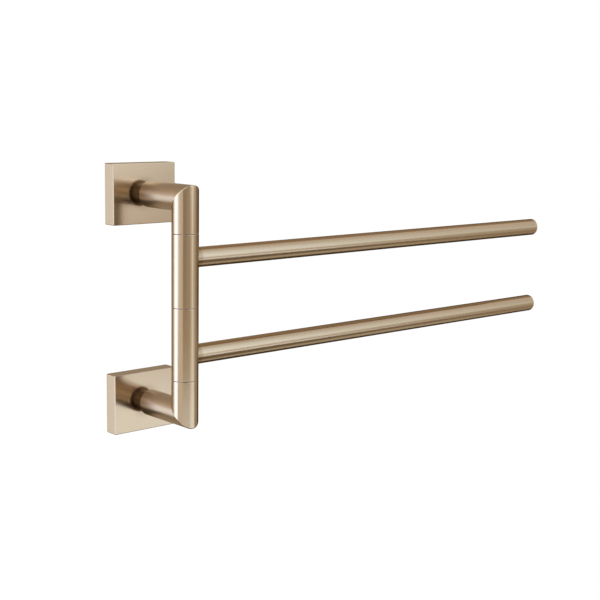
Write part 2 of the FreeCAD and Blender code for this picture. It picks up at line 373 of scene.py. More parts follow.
class ShaderTree:
    """One material's or world's nodes, made by a single method."""

    def __init__(self, owner: bpy.types.Material | bpy.types.World) -> None:
        """Empties the owner's tree and keeps both.

        Args:
            owner: The material or world.
        """
        owner.use_nodes = True
        self.owner, self.tree = owner, owner.node_tree
        self.tree.nodes.clear()

    def node(self, kind: str, inputs: dict[str | int, object] | None = None, out: str | int = 0,
             **settings: object) -> Socket:
        """Makes one node.

        Args:
            kind: Blender's node type.
            inputs: What goes in each input, by name or number: a Socket or a plain value.
            out: The output to give back.
            **settings: Properties set on the node itself.

        Returns:
            The chosen output.
        """
        made = self.tree.nodes.new(kind)
        for key, value in settings.items():
            setattr(made, key, value)
        for key, value in (inputs or {}).items():
            if isinstance(value, Socket):
                self.tree.links.new(value.output, made.inputs[key])
            else:
                made.inputs[key].default_value = value
        return Socket(self, made.outputs[out] if made.outputs else None)

    def place(self) -> Socket:
        """Where on the object a point lies, in metres."""
        return self.node("ShaderNodeTexCoord", out="Object")

    def blend(self, factor: Value, first: object, second: object) -> Socket:
        """A colour Mix from first, at factor 0, to second, at factor 1."""
        return self.node("ShaderNodeMix", {0: factor, 6: first, 7: second}, out=2, data_type="RGBA")

    def surface(self, shade: Socket, rough: Value, height: Socket, depth: float, strength: float = 1.0,
                metallic: float = 1.0) -> bpy.types.Material:
        """Ends a material in a Principled shader with a relief.

        Args:
            shade: Its colour.
            rough: Its roughness.
            height: The relief, from 0 to 1.
            depth: The relief's depth, in millimetres.
            strength: How much the relief tilts the normal.
            metallic: 1 for metal and 0 for plastic.

        Returns:
            The material.
        """
        bump = self.node("ShaderNodeBump", {"Strength": strength, "Distance": depth * MM, "Height": height})
        shader = self.node("ShaderNodeBsdfPrincipled", {"Base Color": shade, "Metallic": metallic,
                                                        "Roughness": rough, "Normal": bump})
        self.node("ShaderNodeOutputMaterial", {"Surface": shader})
        return self.owner


def rgba(colour: Triple, gain: float = 1.0) -> tuple[float, ...]:
    """A colour as Blender's sockets take it, times a gain."""
    return (*(part * gain for part in colour), 1.0)


# ---- finishes ----
@dataclass(frozen=True)
class Marks:
    """What a piece tells its finish of its own form.

    Attributes:
        gap: Distance from the nearest worn edge, which also carries a painted highlight, in millimetres.
        dull: 1 where the brushing is coarser, 0 elsewhere.
        painted_shade: 1 where shade is painted into the colour, at joints, recesses and undersides, 0
            elsewhere.
        upright: 1 where lines that run along X run along Z instead, 0 elsewhere.
    """

    gap: Value = FAR
    dull: Value = 0.0
    # Painted shade mask: darkens the colour at joints, recesses and undersides, where shade falls.
    painted_shade: Value = 0.0
    upright: Value = 0.0


def unmarked(place: Socket) -> Marks:
    """The marks of a piece that is the same all over."""
    return Marks()


@dataclass(frozen=True)
class BrushedBronze:
    """Champagne bronze plate over fine brush lines.

    Attributes:
        name: The material's name.
        along: The axis the brush lines run along.
        base: Its colour.
        roughness: The mean roughness.
        dull_roughness: What is added where the piece's marks say dull.
        line: The width of one brush line, in millimetres.
        line_length: How many times longer it is.
        line_shade: What is left of the colour in a line.
        depth: The depth of the lines, in millimetres.
        streak: How much the wider streaks change the shade.
        streak_width: The width of such a streak, in millimetres.
        streak_length: How many times longer it is.
        clouds: Cloudy patches per metre.
        scatter: How much lines, streaks and clouds move the roughness.
        shade_paint_tone: The colour of its painted shade.
        shade_paint: How strong the painted shade is between clouds and in them.
        worn_edge_highlight_width: The width of a worn edge with its painted highlight, in millimetres.
        worn_edge_highlight_tone: The pale colour of a worn edge, which also paints a highlight along it.
        worn_edge_highlight_depth: How much of that colour shows.
    """

    name: str
    along: Along
    base: Triple = (0.60, 0.47, 0.33)
    roughness: float = 0.18
    dull_roughness: float = 0.12
    line: float = 0.16
    line_length: float = 50.0
    line_shade: float = 0.95
    depth: float = 0.0009
    streak: float = 0.05
    streak_width: float = 0.7
    streak_length: float = 80.0
    clouds: float = 45.0
    scatter: Triple = (0.05, 0.04, 0.03)
    shade_paint_tone: Triple = (0.24, 0.155, 0.09)
    shade_paint: tuple[float, float] = (0.6, 1.1)
    worn_edge_highlight_width: float = 0.55
    worn_edge_highlight_tone: Triple = (0.86, 0.76, 0.62)
    worn_edge_highlight_depth: float = 0.6

    def material(self, marks: Callable[[Socket], Marks]) -> bpy.types.Material:
        """Stretched noise gives the brush lines; the piece's marks give pale worn edges with a painted
        highlight, and painted shade.

        shade = base * (1 +- streak), then towards a paler tone by the edge mask, for worn edges and a painted
        edge highlight, then towards a brown tone by the painted shade mask. Lines and streaks move the
        roughness, and lines move the normal.

        Args:
            marks: Gives the piece's marks from a place.

        Returns:
            The material.
        """
        tree = ShaderTree(bpy.data.materials.new(self.name))
        place = tree.place()
        found = marks(place)
        place = place.exchanged(found.upright)
        lines = place.noise(self.stretched(self.line, self.line_length), 3.0, 0.6)
        streaks = place.noise(self.stretched(self.streak_width, self.streak_length), 4.0, 0.65, 3.7)
        clouds = place.noise((self.clouds,) * 3, 3.0, shift=8.1)
        shade = tree.blend(streaks, rgba(self.base, 1.0 - self.streak), rgba(self.base, 1.0 + self.streak))
        shade = tree.blend(lines, shade, rgba(self.base, self.line_shade))
        # Worn edges turn pale, which also paints a highlight along each edge.
        worn_edge_highlight = (found.gap + (streaks - 0.5) * self.worn_edge_highlight_width).fall(self.worn_edge_highlight_width)
        shade = tree.blend(worn_edge_highlight * self.worn_edge_highlight_depth, shade, rgba(self.worn_edge_highlight_tone))
        # Painted shade: blends towards a dark brown tone where the piece's marks ask for it.
        weak, strong = self.shade_paint
        shade_paint = found.painted_shade * (clouds * (strong - weak) + weak)
        shade = tree.blend(shade_paint.minimum(1.0), shade, rgba(self.shade_paint_tone))
        rough = found.dull * self.dull_roughness + self.roughness
        for noise, share in zip((lines, streaks, clouds), self.scatter):
            rough = (noise - 0.5) * share + rough
        return tree.surface(shade, rough, lines, self.depth)

    def stretched(self, width: float, longer: float) -> Triple:
        """The noise scale for long lines.

        Args:
            width: Their width, in millimetres.
            longer: How many times longer than wide they are.

        Returns:
            Noise cells per metre along X, Y and Z.
        """
        cells = [1.0 / (width * MM)] * 3
        cells[self.along.value] /= longer
        return cells[0], cells[1], cells[2]


@dataclass(frozen=True)
class TurnedMetal:
    """Plain turned or plated metal for the hidden fittings.

    Attributes:
        name: The material's name.
        base: Its colour.
        roughness: The mean roughness.
        ring: The spacing of the tool marks, in millimetres.
        scatter: How much the marks move the roughness.
        dim: What is left of the colour in a cloudy patch.
        clouds: Such patches per metre.
        depth: The marks' depth, in millimetres.
    """

    name: str
    base: Triple
    roughness: float
    ring: float = 0.35
    scatter: float = 0.15
    dim: float = 0.85
    clouds: float = 90.0
    depth: float = 0.01

    def material(self) -> bpy.types.Material:
        """Fine tool marks from noise, with a slight change of shade and roughness.

        Returns:
            The material.
        """
        tree = ShaderTree(bpy.data.materials.new(self.name))
        place = tree.place()
        marks = place.noise((1.0 / (self.ring * MM),) * 3, 2.0)
        clouds = place.noise((self.clouds,) * 3, 3.0, shift=1.3)
        shade = tree.blend(clouds, rgba(self.base, self.dim), rgba(self.base))
        rough = (marks - 0.5) * self.scatter + self.roughness
        return tree.surface(shade, rough, marks, self.depth, strength=0.5)


@dataclass(frozen=True)
class MouldedPlastic:
    """Dark moulded plastic of the bushes and seam washers.

    Attributes:
        name: The material's name.
        base: Its colour.
        roughness: The roughness.
        grains: Grains per metre.
        mottling: How much the grain changes the shade.
        depth: The grain's depth, in millimetres.
    """

    name: str
    base: Triple
    roughness: float = 0.5
    grains: float = 4000.0
    mottling: float = 0.15
    depth: float = 0.02

    def material(self) -> bpy.types.Material:
        """A fine moulded grain in the normal and a faint mottling.

        Returns:
            The material.
        """
        tree = ShaderTree(bpy.data.materials.new(self.name))
        grain = tree.place().noise((self.grains,) * 3, 2.0)
        shade = tree.blend(grain, rgba(self.base, 1.0 - self.mottling), rgba(self.base, 1.0 + self.mottling))
        return tree.surface(shade, self.roughness, grain, self.depth, strength=0.4, metallic=0.0)


class Palette:
    """The part's plain finishes, each made once. The brushed pieces make their own."""

    def __init__(self) -> None:
        """Makes every material and files it under its slots."""
        plate = BrushedBronze("brushed_bronze", Along.Z).material(unmarked)
        self.finishes = {
            "brushed_bronze": plate,
            "shadow_collar": plate,
            "raw_brass": TurnedMetal("raw_brass", (0.72, 0.56, 0.28), 0.35).material(),
            "steel": TurnedMetal("stainless_steel", (0.62, 0.62, 0.62), 0.3).material(),
            "zinc_plated_steel": TurnedMetal("zinc_plate", (0.56, 0.55, 0.53), 0.5, ring=1.2).material(),
            "nylon": MouldedPlastic("dark_nylon", (0.22, 0.14, 0.085)).material(),
        }

    def dress_node(self, name: str, slot: str) -> None:
        """Gives a shown CAD node the finish of its material slot.

        Args:
            name: The node.
            slot: The record's slot name.
        """
        node = frame["nodes"][name]
        if not node.material_slots:
            node.data.materials.append(self.finishes[slot])
        for holder in node.material_slots:
            holder.material = self.finishes[slot]


# ---- sub-assemblies ----
def add_piece(label: str, name: str, node: str, body: Body, skin: Rings, finish: bpy.types.Material) -> None:
    """Makes a smooth piece with the normals that the formulas give, and lets it stand for its CAD node.

    Args:
        label: What the names of the piece and of the node start with.
        name: The rest of the piece's name.
        node: The rest of the node's name.
        body: The body it rides on.
        skin: Its skin, in millimetres.
        finish: Its material.
    """
    directions, faces = np.concatenate(skin.normals), skin.faces()
    piece = build_object(f"{label}_{name}", np.concatenate(skin.rings) * MM, faces, finish)
    mesh, outward = piece.data, np.zeros(len(faces) * 3)
    mesh.polygons.foreach_get("normal", outward)
    facing = (outward.reshape(-1, 3) * directions[[face[0] for face in faces]]).sum(1)
    if np.median(facing) < 0:
        mesh.flip_normals()
    mesh.polygons.foreach_set("use_smooth", np.ones(len(faces), bool))
    mesh.normals_split_custom_set_from_vertices(directions.tolist())
    mesh.update()
    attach(piece, body.value)
    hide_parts(f"{label}_{node}")
    log.info("%s: %d faces, rides on %s", piece.name, len(faces), body.value)


@dataclass(frozen=True)
class SideAssembly:
    """What the sub-assemblies of one side share.

    Attributes:
        side: Upper or lower.
        out: From the wall to the column axis.
        post_height: From the middle of the object to the post's centre line.
        flange: From the wall to the flange's face.
        neck: The radius of the neck that stands on it.
    """

    side: Side
    out: float = 62.0
    post_height: float = 80.0
    flange: float = 11.5
    neck: float = 8.0

    @property
    def post_z(self) -> float:
        """The height of the post's centre line on this side."""
        return self.side.value * self.post_height


@dataclass(frozen=True)
class WallFlange(SideAssembly):
    """The rectangular cover plate of one post, a shell open to the wall.

    Attributes:
        width: Along the wall.
        height: Up the wall.
        edge: The rounding of the front edges.
        corner: The rounding of the corners, seen from the front.
        wall: The thickness of the shell's sides.
        face: The thickness of its front.
        back_edge: The rounding of the edges on the wall.
        root: The rounding between the inside face and the sides.
        inner_corner: The rounding of the inside corners.
        spared: How much less than the upright edges the level ones are worn and given a painted highlight.
        seam: How far the two directions of brushing run into each other.
        shade_paint: How far the painted shade round the neck reaches.
        shade_paint_depth: How strong the painted shade is at the neck.
        screw_out: From the wall to the grub screw's axis.
        screw_hole: The radius of its hole in the underside.
        lip: The rounding of the hole's two ends.
        hole_count: Points round the hole.
    """

    width: float = 56.0
    height: float = 46.0
    edge: float = 0.55
    corner: float = 0.7
    wall: float = 2.5
    face: float = 3.5
    back_edge: float = 0.2
    root: float = 0.4
    inner_corner: float = 0.8
    spared: float = 0.4
    seam: float = 0.01
    shade_paint: float = 8.0
    shade_paint_depth: float = 0.6
    screw_out: float = 4.6
    screw_hole: float = 2.0
    lip: float = 0.15
    hole_count: int = 32

    def loop(self, inset: float, corner: float, y: float) -> Loop:
        """A rectangle with round corners, square to Y.

        Each quarter holds one corner's arc, point = corner centre + radius*(cos t, sin t), and the
        straight sides are the gaps between the arcs.

        Args:
            inset: How far its sides lie inside the flange's outline.
            corner: The corner radius.
            y: Its distance from the wall, negative.

        Returns:
            Points of shape (n, 3) and unit outward directions of the same shape.
        """
        half, steps = np.array([self.width / 2.0 - inset, self.height / 2.0 - inset]), 6
        t = np.concatenate([np.linspace(q, q + 1.0, steps) for q in range(4)]) * math.pi / 2.0
        way = np.stack([np.cos(t), np.sin(t)], 1)
        signs = np.repeat([(1, 1), (-1, 1), (-1, -1), (1, -1)], steps, axis=0)
        flat = signs * (half - corner) + way * corner
        points = np.insert(flat + (0.0, self.post_z), 1, y, axis=1)
        return points, np.insert(way, 1, 0.0, axis=1)

    def marks(self, place: Socket) -> Marks:
        """Worn, with a painted highlight, where two of the three outer faces meet; painted shade in a ring
        round the neck.

        With a, b and c the distances from the side, the top or bottom and the front, an edge is where
        the larger of two of them is small. The upright edges get the most wear and painted highlight. The
        painted shade falls off with the distance from the post's axis. The two upright sides are brushed
        upright.

        Args:
            place: A place on the object.

        Returns:
            Its marks.
        """
        x, y, z = place.millimetres()
        off_centre = abs(z) - self.post_height
        across, up, out = self.width / 2.0 - abs(x), self.height / 2.0 - abs(off_centre), y + self.flange
        gap = across.maximum(out).minimum(across.maximum(up)).minimum(up.maximum(out) + self.spared)
        # Painted shade: darkens a ring of the flange's face round the neck, where the post shades it.
        ring = (x * x + off_centre * off_centre) ** 0.5 - self.neck
        near = ring.maximum(0.0).fall(self.shade_paint)
        return Marks(gap=gap, painted_shade=near * near * out.fall(self.edge) * self.shade_paint_depth,
                     upright=((self.edge - across) / self.seam).held())

    def build(self) -> None:
        """Builds the shell as loops: front face, front edge, side, back edge, inside wall, inside face.

        Each rounding is a quarter circle. With (cos t, sin t) its normal, outwards and along Y, a point
        has inset = centre's - radius*cos t and y = centre's + radius*sin t. A hollow one has a negative
        radius. Then come the circles of the grub screw's hole: (r*cos t, -screw_out + r*sin t, z).
        """
        front, pocket = -self.flange, -self.flange + self.face
        skin = HoledRings()
        skin.add(np.array([[0.0, front, self.post_z]]), np.array([[0.0, -1.0, 0.0]]))
        for inset, y, radius, start, end, count in (
                (self.edge, front + self.edge, self.edge, -90.0, 0.0, 7),
                (self.back_edge, -self.back_edge, self.back_edge, 0.0, 90.0, 4),
                (self.wall - self.back_edge, -self.back_edge, self.back_edge, 90.0, 180.0, 4),
                (self.wall + self.root, pocket + self.root, -self.root, 180.0, 90.0, 4)):
            for t in np.radians(np.linspace(start, end, count)):
                at = inset - radius * math.cos(t)
                corner = self.inner_corner if at > self.wall / 2.0 else self.corner - at
                points, out = self.loop(at, corner, y + radius * math.sin(t))
                skin.add(points, out * math.cos(t) + (0.0, math.sin(t), 0.0))
        skin.add(np.array([[0.0, pocket, self.post_z]]), np.array([[0.0, 1.0, 0.0]]))
        t = circle(self.hole_count)
        flat = np.stack([np.cos(t), np.sin(t), np.zeros_like(t)], 1)
        below = self.post_z - self.height / 2.0
        above = below + self.wall
        for radius, z, out, down in ((self.screw_hole + self.lip, below, 0.0, 1.0),
                                     (self.screw_hole, below + self.lip, 1.0, 0.0),
                                     (self.screw_hole, above - self.lip, 1.0, 0.0),
                                     (self.screw_hole + self.lip, above, 0.0, -1.0)):
            skin.add(flat * radius + (0.0, -self.screw_out, z), -flat * out - (0.0, 0.0, down))
        # A wider pale worn edge, which also paints the flange's edge highlight.
        finish = BrushedBronze("flange_bronze", Along.X, worn_edge_highlight_width=0.9).material(self.marks)
        add_piece(self.side.label, "flange_plate", "flange", Body.WALL, skin, finish)


@dataclass(frozen=True)
class MitredPost(SideAssembly):
    """A post with its neck, and the stub of column that its mitre turns into.

    Attributes:
        radius: The tube's outside.
        bore: The tube's inside.
        start: From the wall to the post's wall end.
        end: From the middle of the object to the stub's end.
        neck_bore: The neck's hole.
        neck_edge: The rounding of its edges.
        neck_dark: How strong the neck's painted shade is at the height of the post's axis.
        neck_fade: How much weaker it is one post radius higher, where more light falls.
        linger: How far past the flange's face the painted shade would fade out.
        edge: The rounding of the tube's square ends.
        crease: How far from the mitre its rounding starts.
        spared: How much less than the square ends the mitre is worn and given a painted highlight.
        soft: How far past the mitre the coarser brushing starts to fade.
        painted_underside_shade: How far from the wall end the painted shade under the post reaches.
        painted_underside_shade_wrap: How far up the post's sides it wraps, in radii.
        painted_underside_shade_depth: How strong it is at most.
        count: Points in each ring.
        crease_count: Rings over the mitre.
    """

    radius: float = 10.0
    bore: float = 8.2
    start: float = 18.2
    end: float = 54.5
    neck_bore: float = 3.25
    neck_edge: float = 0.1
    neck_dark: float = 1.15
    neck_fade: float = 1.3
    linger: float = 2.0
    edge: float = 0.25
    crease: float = 0.7
    spared: float = 0.8
    soft: float = 1.0
    painted_underside_shade: float = 9.0
    painted_underside_shade_wrap: float = 0.1
    painted_underside_shade_depth: float = 0.8
    count: int = 128
    crease_count: int = 11

    def marks(self, place: Socket) -> Marks:
        """Worn, with a painted highlight, along the mitre and at both square ends, coarser on the post than
        on the column.

        The mitre is the plane where y + out equals post_height - |z|. The post lies on its wall side.
        A painted shade darkens the underside of the post's wall end.

        Args:
            place: A place on the object.

        Returns:
            Its marks.
        """
        _, y, z = place.millimetres()
        past = (y + self.out) - (self.post_height - abs(z))
        mitre = abs(past) / math.sqrt(2.0) + self.spared
        gap = mitre.minimum(abs(y + self.start)).minimum(abs(abs(z) - self.end))
        # Painted shade: darkens the underside of the post next to the neck, where the flange and neck shade
        # it.
        root = (0.0 - y - self.start).maximum(0.0).fall(self.painted_underside_shade)
        below = (self.post_z - z) / self.radius
        return Marks(gap=gap, dull=(past + self.soft).held(),
                     painted_shade=root * (below + self.painted_underside_shade_wrap).held(self.painted_underside_shade_depth))

    def neck_marks(self, place: Socket) -> Marks:
        """Painted shade, darkest under the post's end and fading upwards.

        Args:
            place: A place on the object.

        Returns:
            Its marks.
        """
        _, y, z = place.millimetres()
        high = (z - self.post_z) / self.radius
        # Painted shade: darker towards the post's end and towards the bottom of the neck.
        inwards = (y + self.start).maximum(0.0).fall(self.start - self.flange + self.linger)
        return Marks(painted_shade=inwards * (self.neck_dark - high * self.neck_fade).held())

    def ring(self, on_column: bool, radius: float, slide: float, lean: float = 1.0, out: float = 1.0,
             end_normal: float = 0.0) -> Loop:
        """One ring of the tube.

        With U pointing to the outside of the bend and S along the tube, away from the bend's corner,
        point = corner + r*sin(t)*X + u*U + (slide - lean*u)*S and u = r*cos(t).

        Args:
            on_column: False on the post and True on the column's stub.
            radius: The ring's radius.
            slide: How far along the tube it lies.
            lean: 1 for a ring that leans with the mitre's plane and 0 for a square one.
            out: The share of the normal that points away from the tube's centre line.
            end_normal: The share that points along the tube, away from the mitre.

        Returns:
            Points and normals.
        """
        t, side, x = circle(self.count)[:, None], self.side.value, np.array([1.0, 0.0, 0.0])
        outside, onwards = np.array([(0, -1, 0), (0, 0, -side)] if on_column else [(0, 0, side), (0, 1, 0)])
        u = radius * np.cos(t)
        points = radius * np.sin(t) * x + u * outside + (slide - lean * u) * onwards
        normals = (np.sin(t) * x + np.cos(t) * outside) * out + onwards * end_normal
        return points + (0.0, -self.out, self.post_z), normals

    def crease_rings(self, skin: Rings, out: float) -> None:
        """Rounds the mitre a hair: each point slides on a curve from the post's skin to the column's.

        point = (1-k)^2 * post + 2k(1-k) * mitre + k^2 * column, and the normal turns the same way.

        Args:
            skin: Takes the rings.
            out: 1 for the outside, from the post to the column, and -1 for the inside, back again.
        """
        radius, first = (self.radius, 0.0) if out > 0.0 else (self.bore, 1.0)
        post, post_n = self.ring(False, radius, self.crease, out=out)
        column, column_n = self.ring(True, radius, self.crease, out=out)
        mitre, _ = self.ring(False, radius, 0.0)
        for k in np.linspace(first, 1.0 - first, self.crease_count):
            points = (1 - k) ** 2 * post + 2 * k * (1 - k) * mitre + k * k * column
            normals = (1 - k) * post_n + k * column_n
            skin.add(points, normals / np.linalg.norm(normals, axis=1)[:, None])

    def square_end(self, skin: Rings, on_column: bool) -> None:
        """Rings over one square end.

        Args:
            skin: Takes the rings.
            on_column: True for the column's end, from the outside in, and False for the post's, back out.
        """
        length = self.post_height - self.end if on_column else self.out - self.start
        rings: list[Loop] = []
        for face, out, start, end in ((self.radius, 1.0, 0.0, 90.0), (self.bore, -1.0, 90.0, 0.0)):
            for angle in np.radians(np.linspace(start, end, 4)):
                c, s = math.cos(angle), math.sin(angle)
                radius, slide = face - out * self.edge * (1.0 - c), length - self.edge * (1.0 - s)
                rings.append(self.ring(on_column, radius, slide, 0.0, out * c, s))
        for ring in (rings if on_column else rings[::-1]):
            skin.add(*ring)

    def build(self) -> None:
        """Builds the hollow elbow as one closed run of rings, and the neck."""
        skin = Rings(joined=True)
        for on_column, out in ((False, 1.0), (True, -1.0)):
            self.square_end(skin, on_column)
            self.crease_rings(skin, out)
        finish = BrushedBronze("post_bronze", Along.Z).material(self.marks)
        add_piece(self.side.label, "mitred_post", "elbow_post", Body.WALL, skin, finish)
        section = Profile.tube(self.neck_bore, self.neck, 0.0, self.start - self.flange, self.neck_edge)
        skin = turned(section, (0.0, -self.flange, self.post_z), (0.0, -1.0, 0.0))
        # A darker copy of the bronze with a near-black tone: painted shade for the neck in the gap under the
        # post.
        finish = BrushedBronze("neck_bronze_painted_shade", Along.Y, base=(0.36, 0.26, 0.165), roughness=0.40,
                               shade_paint_tone=(0.05, 0.032, 0.018)).material(self.neck_marks)
        add_piece(self.side.label, "neck", "post_collar", Body.WALL, skin, finish)


@dataclass(frozen=True)
class SwingArm(SideAssembly):
    """A hub with its arm and end cap.

    Attributes:
        hub_radius: The hub's outside.
        hub_low: Its end next to the middle seam, from the middle of the object.
        hub_high: Its other end.
        bore: The bush's seat.
        seat: Its depth.
        waist: The radius of the bore between the seats.
        mouth: The rounding of the bore's ends.
        step: The rounding of the seats' inner ends.
        edge: The rounding of the hub's outer ends.
        height: Of the arm's centre line.
        radius: The arm's outside.
        inner: The arm's inside.
        reach: From the column axis to the tip.
        sink: How far the coped end reaches into the hub's skin.
        clear: From the column axis to the first ring that isn't coped.
        stations: How many rings follow it to the tip.
        nick: The rounding of the tube's tip end.
        cap: The length of the cap's head.
        spigot: The length of the part of it in the tube.
        slack: How much thinner than the bore that is.
        spigot_edge: The rounding of its inner end.
        rim: The rounding of the tip.
        smear: How many times farther along the arm than over the tip's face the wear and its painted
            highlight reach.
        shade_paint: How far the painted shade next to the hub reaches.
        shade_paint_depth: How strong the painted shade is at the hub.
    """

    hub_radius: float = 10.0
    hub_low: float = 0.2
    hub_high: float = 54.1
    bore: float = 6.0
    seat: float = 10.0
    waist: float = 4.5
    mouth: float = 0.2
    step: float = 0.1
    edge: float = 0.22
    height: float = 36.25
    radius: float = 7.5
    inner: float = 6.0
    reach: float = 407.0
    sink: float = 0.05
    clear: float = 14.0
    stations: int = 12
    nick: float = 0.01
    cap: float = 4.0
    spigot: float = 10.0
    slack: float = 0.03
    spigot_edge: float = 0.4
    rim: float = 0.7
    smear: float = 4.0
    shade_paint: float = 3.0
    shade_paint_depth: float = 0.5

    def hub_marks(self, place: Socket) -> Marks:
        """Worn at its two ends, with a painted highlight."""
        high = abs(place.millimetres()[2])
        return Marks(gap=abs(high - self.hub_low).minimum(abs(high - self.hub_high)))

    def arm_marks(self, place: Socket) -> Marks:
        """Worn, with a painted highlight, round the rim of the tip, and a painted shade where the arm meets
        the hub.

        Args:
            place: A place on the object.

        Returns:
            Its marks.
        """
        x, y, z = place.millimetres()
        beside, above = y + self.out, abs(z) - self.height
        inside = self.radius - (beside * beside + above * above) ** 0.5
        # Painted shade: darkens the arm next to the hub, where the hub shades it.
        root = (x - self.hub_radius).maximum(0.0).fall(self.shade_paint)
        return Marks(gap=abs(inside).maximum(abs(self.reach - x) / self.smear),
                     painted_shade=root * root * self.shade_paint_depth)

    def build_hub(self) -> None:
        """A turned hub with a narrower waist in its bore."""
        low, high = self.hub_low, self.hub_high
        section = Profile.rounded([
            (self.bore, low, self.mouth), (self.hub_radius, low, self.edge),
            (self.hub_radius, high, self.edge), (self.bore, high, self.mouth),
            (self.bore, high - self.seat, self.step), (self.waist, high - self.seat, self.step),
            (self.waist, low + self.seat, self.step), (self.bore, low + self.seat, self.step)], closed=True)
        skin = turned(section, (0.0, -self.out, 0.0), (0.0, 0.0, self.side.value))
        finish = BrushedBronze("hub_bronze", Along.Z).material(self.hub_marks)
        add_piece(self.side.label, "turned_hub", "hub", self.side.body, skin, finish)

    def build_bar(self, finish: bpy.types.Material) -> None:
        """A tube whose hub end is coped: its end ring lies at x = sqrt(R^2 - y^2) on the hub's round.

        Args:
            finish: The arm's material.
        """
        t = circle(AROUND)
        way = np.stack([np.zeros_like(t), np.cos(t), np.sin(t)], 1)
        centre = np.array([0.0, -self.out, self.side.value * self.height])
        forward = np.tile((1.0, 0.0, 0.0), (AROUND, 1))
        end = self.reach - self.cap
        outside = [(self.radius, x, way) for x in np.linspace(self.clear, end, self.stations)]
        skin = Rings(joined=True)
        for radius, x, normal in [
                (self.radius, None, way), *outside, (self.radius - self.nick, end, forward),
                (self.inner, end, forward), (self.inner - self.nick, end - 2.0 * self.nick, -way),
                (self.inner, self.clear, -way), (self.inner, None, -way)]:
            points = centre + way * radius
            saddle = np.sqrt((self.hub_radius - self.sink) ** 2 - (way[:, 1] * radius) ** 2)
            points[:, 0] = saddle if x is None else x
            skin.add(points, normal)
        add_piece(self.side.label, "rail", "arm_bar", self.side.body, skin, finish)

    def build_cap(self, finish: bpy.types.Material) -> None:
        """The plug in the tip: a spigot, then a head flush with the tube and a rounded rim.

        Args:
            finish: The arm's material.
        """
        inner, crisp = self.inner - self.slack, 2.0 * self.nick
        section = Profile.rounded([
            (0.0, -self.spigot, 0.0), (inner, -self.spigot, self.spigot_edge), (inner, 0.0, crisp),
            (self.radius, 0.0, crisp), (self.radius, self.cap, self.rim), (0.0, self.cap, 0.0)], closed=False)
        skin = turned(section, (self.reach - self.cap, -self.out, self.side.value * self.height),
                      (1.0, 0.0, 0.0), (0.0, 1.0, 0.0))
        add_piece(self.side.label, "tip_cap", "arm_end_cap", self.side.body, skin, finish)

    def build(self) -> None:
        """Builds the hub, the bar and the cap."""
        self.build_hub()
        finish = BrushedBronze("arm_bronze", Along.X, roughness=0.22, streak=0.2,
                               streak_width=1.6).material(self.arm_marks)
        self.build_bar(finish)
        self.build_cap(finish)


@dataclass(frozen=True)
class SeamWashers:
    """The three thin washers that show as dark lines round the column.

    Attributes:
        radius: Their outside.
        bore: Their inside.
        gauge: Their thickness.
        edge: The rounding of their edges.
        pitch: From one to the next.
        out: From the wall to the column axis.
    """

    radius: float = 9.8
    bore: float = 4.05
    gauge: float = 0.36
    edge: float = 0.08
    pitch: float = 54.3
    out: float = 62.0

    def build(self, palette: Palette) -> None:
        """Builds each washer as a turned ring.

        Args:
            palette: Holds their finish.
        """
        half = self.gauge / 2.0
        section = Profile.tube(self.bore, self.radius, -half, half, self.edge, steps=3)
        for name, height in (("top", self.pitch), ("middle", 0.0), ("bottom", -self.pitch)):
            skin = turned(section, (0.0, -self.out, height), (0.0, 0.0, 1.0))
            add_piece(name, "washer", "seam_washer", Body.WALL, skin, palette.finishes["nylon"])


# ---- studio ----
@dataclass(frozen=True)
class Card:
    """A curved card round the object: a soft light, or a dark flag that a metal mirrors.

    Attributes:
        name: Its name.
        azimuth: Its two sides, in degrees from the camera's side of the object, positive to the right.
        elevation: Its lower and upper edge, in degrees.
        colour: What it gives off.
    """

    name: str
    azimuth: tuple[float, float]
    elevation: tuple[float, float]
    colour: Triple


